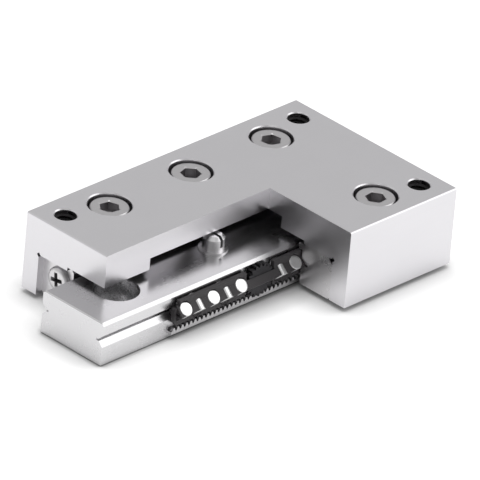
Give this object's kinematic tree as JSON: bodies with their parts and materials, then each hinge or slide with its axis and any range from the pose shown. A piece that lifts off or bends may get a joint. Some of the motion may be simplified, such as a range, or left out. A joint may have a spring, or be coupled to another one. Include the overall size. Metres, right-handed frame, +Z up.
{
  "type": "crossed roller guide",
  "caption": "Miniature crossed roller slide: a flat table over a narrow bed on caged crossed rollers, with a rack and pinion in each cage, partly cut away.",
  "frame": {"origin": "bottom centre of the object's box with the table at rest, on the bed's underside", "axes": "+X along the travel towards the table's overhanging end, +Z up from the bed to the table"},
  "size_m": [0.0556, 0.03, 0.012],
  "materials": {
    "table_steel": "ground satin",
    "bed_steel": "ground",
    "rail_steel": "ground",
    "roller_steel": "polished",
    "cage_plastic": "moulded, slight sheen",
    "pinion_steel": "dull",
    "rack_steel": "dull",
    "screw_steel": "satin",
    "pin_steel": "turned"
  },
  "bodies": {
    "bed": {"bed": "bed_steel", "stop_pin": "pin_steel", "rack_lower_front": "rack_steel", "rack_lower_back": "rack_steel"},
    "table": {"table": "table_steel", "rail_back": "rail_steel", "rail_front": "rail_steel", "rail_screw_back_1": "screw_steel", "rail_screw_back_2": "screw_steel", "rail_screw_back_3": "screw_steel", "rail_screw_front": "screw_steel", "rack_upper_back": "rack_steel", "rack_upper_front": "rack_steel", "end_screw_back_left": "screw_steel", "end_screw_back_right": "screw_steel", "end_screw_front_right": "screw_steel"},
    "cage_front": {"cage_front": "cage_plastic", "pinion_axle_front": "pin_steel"},
    "cage_back": {"cage_back": "cage_plastic", "pinion_axle_back": "pin_steel"},
    "pinion_front": {"pinion_front": "pinion_steel"},
    "pinion_back": {"pinion_back": "pinion_steel"},
    "roller_front_1": {"roller_front_1": "roller_steel"},
    "roller_front_2": {"roller_front_2": "roller_steel"},
    "roller_front_3": {"roller_front_3": "roller_steel"},
    "roller_front_4": {"roller_front_4": "roller_steel"},
    "roller_front_5": {"roller_front_5": "roller_steel"},
    "roller_front_6": {"roller_front_6": "roller_steel"},
    "roller_front_7": {"roller_front_7": "roller_steel"},
    "roller_front_8": {"roller_front_8": "roller_steel"},
    "roller_front_9": {"roller_front_9": "roller_steel"},
    "roller_front_10": {"roller_front_10": "roller_steel"},
    "roller_back_1": {"roller_back_1": "roller_steel"},
    "roller_back_2": {"roller_back_2": "roller_steel"},
    "roller_back_3": {"roller_back_3": "roller_steel"},
    "roller_back_4": {"roller_back_4": "roller_steel"},
    "roller_back_5": {"roller_back_5": "roller_steel"},
    "roller_back_6": {"roller_back_6": "roller_steel"},
    "roller_back_7": {"roller_back_7": "roller_steel"},
    "roller_back_8": {"roller_back_8": "roller_steel"},
    "roller_back_9": {"roller_back_9": "roller_steel"},
    "roller_back_10": {"roller_back_10": "roller_steel"}
  },
  "joints": [
    {"name": "table_slide", "type": "slide", "parent": "bed", "child": "table", "axis": [1, 0, 0], "range_m": [-0.02025, 0.01025]},
    {"name": "cage_front_slide", "type": "slide", "parent": "bed", "child": "cage_front", "axis": [1, 0, 0], "range_m": [-0.01013, 0.00513]},
    {"name": "cage_back_slide", "type": "slide", "parent": "bed", "child": "cage_back", "axis": [1, 0, 0], "range_m": [-0.01013, 0.00513]},
    {"name": "pinion_front_spin", "type": "hinge", "parent": "cage_front", "child": "pinion_front", "pos_m": [0.00025, -0.00615, 0.0037], "axis": [0, 1, 0], "range_deg": [-270, 142]},
    {"name": "pinion_back_spin", "type": "hinge", "parent": "cage_back", "child": "pinion_back", "pos_m": [0.00025, 0.00615, 0.0037], "axis": [0, 1, 0], "range_deg": [-270, 142]},
    {"name": "roller_front_1_spin", "type": "hinge", "parent": "cage_front", "child": "roller_front_1", "pos_m": [-0.0137, -0.00615, 0.0037], "axis": [0, -0.7071, 0.7071], "range_deg": [-607, 319]},
    {"name": "roller_front_2_spin", "type": "hinge", "parent": "cage_front", "child": "roller_front_2", "pos_m": [-0.01115, -0.00615, 0.0037], "axis": [0, 0.7071, 0.7071], "range_deg": [-607, 319]},
    {"name": "roller_front_3_spin", "type": "hinge", "parent": "cage_front", "child": "roller_front_3", "pos_m": [-0.0086, -0.00615, 0.0037], "axis": [0, -0.7071, 0.7071], "range_deg": [-607, 319]},
    {"name": "roller_front_4_spin", "type": "hinge", "parent": "cage_front", "child": "roller_front_4", "pos_m": [-0.00605, -0.00615, 0.0037], "axis": [0, 0.7071, 0.7071], "range_deg": [-607, 319]},
    {"name": "roller_front_5_spin", "type": "hinge", "parent": "cage_front", "child": "roller_front_5", "pos_m": [-0.0035, -0.00615, 0.0037], "axis": [0, -0.7071, 0.7071], "range_deg": [-607, 319]},
    {"name": "roller_front_6_spin", "type": "hinge", "parent": "cage_front", "child": "roller_front_6", "pos_m": [0.004, -0.00615, 0.0037], "axis": [0, 0.7071, 0.7071], "range_deg": [-607, 319]},
    {"name": "roller_front_7_spin", "type": "hinge", "parent": "cage_front", "child": "roller_front_7", "pos_m": [0.00655, -0.00615, 0.0037], "axis": [0, -0.7071, 0.7071], "range_deg": [-607, 319]},
    {"name": "roller_front_8_spin", "type": "hinge", "parent": "cage_front", "child": "roller_front_8", "pos_m": [0.0091, -0.00615, 0.0037], "axis": [0, 0.7071, 0.7071], "range_deg": [-607, 319]},
    {"name": "roller_front_9_spin", "type": "hinge", "parent": "cage_front", "child": "roller_front_9", "pos_m": [0.01165, -0.00615, 0.0037], "axis": [0, -0.7071, 0.7071], "range_deg": [-607, 319]},
    {"name": "roller_front_10_spin", "type": "hinge", "parent": "cage_front", "child": "roller_front_10", "pos_m": [0.0142, -0.00615, 0.0037], "axis": [0, 0.7071, 0.7071], "range_deg": [-607, 319]},
    {"name": "roller_back_1_spin", "type": "hinge", "parent": "cage_back", "child": "roller_back_1", "pos_m": [-0.0137, 0.00615, 0.0037], "axis": [0, 0.7071, 0.7071], "range_deg": [-319, 607]},
    {"name": "roller_back_2_spin", "type": "hinge", "parent": "cage_back", "child": "roller_back_2", "pos_m": [-0.01115, 0.00615, 0.0037], "axis": [0, -0.7071, 0.7071], "range_deg": [-319, 607]},
    {"name": "roller_back_3_spin", "type": "hinge", "parent": "cage_back", "child": "roller_back_3", "pos_m": [-0.0086, 0.00615, 0.0037], "axis": [0, 0.7071, 0.7071], "range_deg": [-319, 607]},
    {"name": "roller_back_4_spin", "type": "hinge", "parent": "cage_back", "child": "roller_back_4", "pos_m": [-0.00605, 0.00615, 0.0037], "axis": [0, -0.7071, 0.7071], "range_deg": [-319, 607]},
    {"name": "roller_back_5_spin", "type": "hinge", "parent": "cage_back", "child": "roller_back_5", "pos_m": [-0.0035, 0.00615, 0.0037], "axis": [0, 0.7071, 0.7071], "range_deg": [-319, 607]},
    {"name": "roller_back_6_spin", "type": "hinge", "parent": "cage_back", "child": "roller_back_6", "pos_m": [0.004, 0.00615, 0.0037], "axis": [0, -0.7071, 0.7071], "range_deg": [-319, 607]},
    {"name": "roller_back_7_spin", "type": "hinge", "parent": "cage_back", "child": "roller_back_7", "pos_m": [0.00655, 0.00615, 0.0037], "axis": [0, 0.7071, 0.7071], "range_deg": [-319, 607]},
    {"name": "roller_back_8_spin", "type": "hinge", "parent": "cage_back", "child": "roller_back_8", "pos_m": [0.0091, 0.00615, 0.0037], "axis": [0, -0.7071, 0.7071], "range_deg": [-319, 607]},
    {"name": "roller_back_9_spin", "type": "hinge", "parent": "cage_back", "child": "roller_back_9", "pos_m": [0.01165, 0.00615, 0.0037], "axis": [0, 0.7071, 0.7071], "range_deg": [-319, 607]},
    {"name": "roller_back_10_spin", "type": "hinge", "parent": "cage_back", "child": "roller_back_10", "pos_m": [0.0142, 0.00615, 0.0037], "axis": [0, -0.7071, 0.7071], "range_deg": [-319, 607]}
  ],
  "couplings": [
    {"joint": "cage_front_slide", "follows": "table_slide", "ratio": 0.5},
    {"joint": "cage_back_slide", "follows": "table_slide", "ratio": 0.5},
    {"joint": "pinion_front_spin", "follows": "table_slide", "rad_per_m": 222.22},
    {"joint": "pinion_back_spin", "follows": "table_slide", "rad_per_m": 222.22},
    {"joint": "roller_front_1_spin", "follows": "table_slide", "rad_per_m": 500},
    {"joint": "roller_front_2_spin", "follows": "table_slide", "rad_per_m": 500},
    {"joint": "roller_front_3_spin", "follows": "table_slide", "rad_per_m": 500},
    {"joint": "roller_front_4_spin", "follows": "table_slide", "rad_per_m": 500},
    {"joint": "roller_front_5_spin", "follows": "table_slide", "rad_per_m": 500},
    {"joint": "roller_front_6_spin", "follows": "table_slide", "rad_per_m": 500},
    {"joint": "roller_front_7_spin", "follows": "table_slide", "rad_per_m": 500},
    {"joint": "roller_front_8_spin", "follows": "table_slide", "rad_per_m": 500},
    {"joint": "roller_front_9_spin", "follows": "table_slide", "rad_per_m": 500},
    {"joint": "roller_front_10_spin", "follows": "table_slide", "rad_per_m": 500},
    {"joint": "roller_back_1_spin", "follows": "table_slide", "rad_per_m": -500},
    {"joint": "roller_back_2_spin", "follows": "table_slide", "rad_per_m": -500},
    {"joint": "roller_back_3_spin", "follows": "table_slide", "rad_per_m": -500},
    {"joint": "roller_back_4_spin", "follows": "table_slide", "rad_per_m": -500},
    {"joint": "roller_back_5_spin", "follows": "table_slide", "rad_per_m": -500},
    {"joint": "roller_back_6_spin", "follows": "table_slide", "rad_per_m": -500},
    {"joint": "roller_back_7_spin", "follows": "table_slide", "rad_per_m": -500},
    {"joint": "roller_back_8_spin", "follows": "table_slide", "rad_per_m": -500},
    {"joint": "roller_back_9_spin", "follows": "table_slide", "rad_per_m": -500},
    {"joint": "roller_back_10_spin", "follows": "table_slide", "rad_per_m": -500}
  ]
}
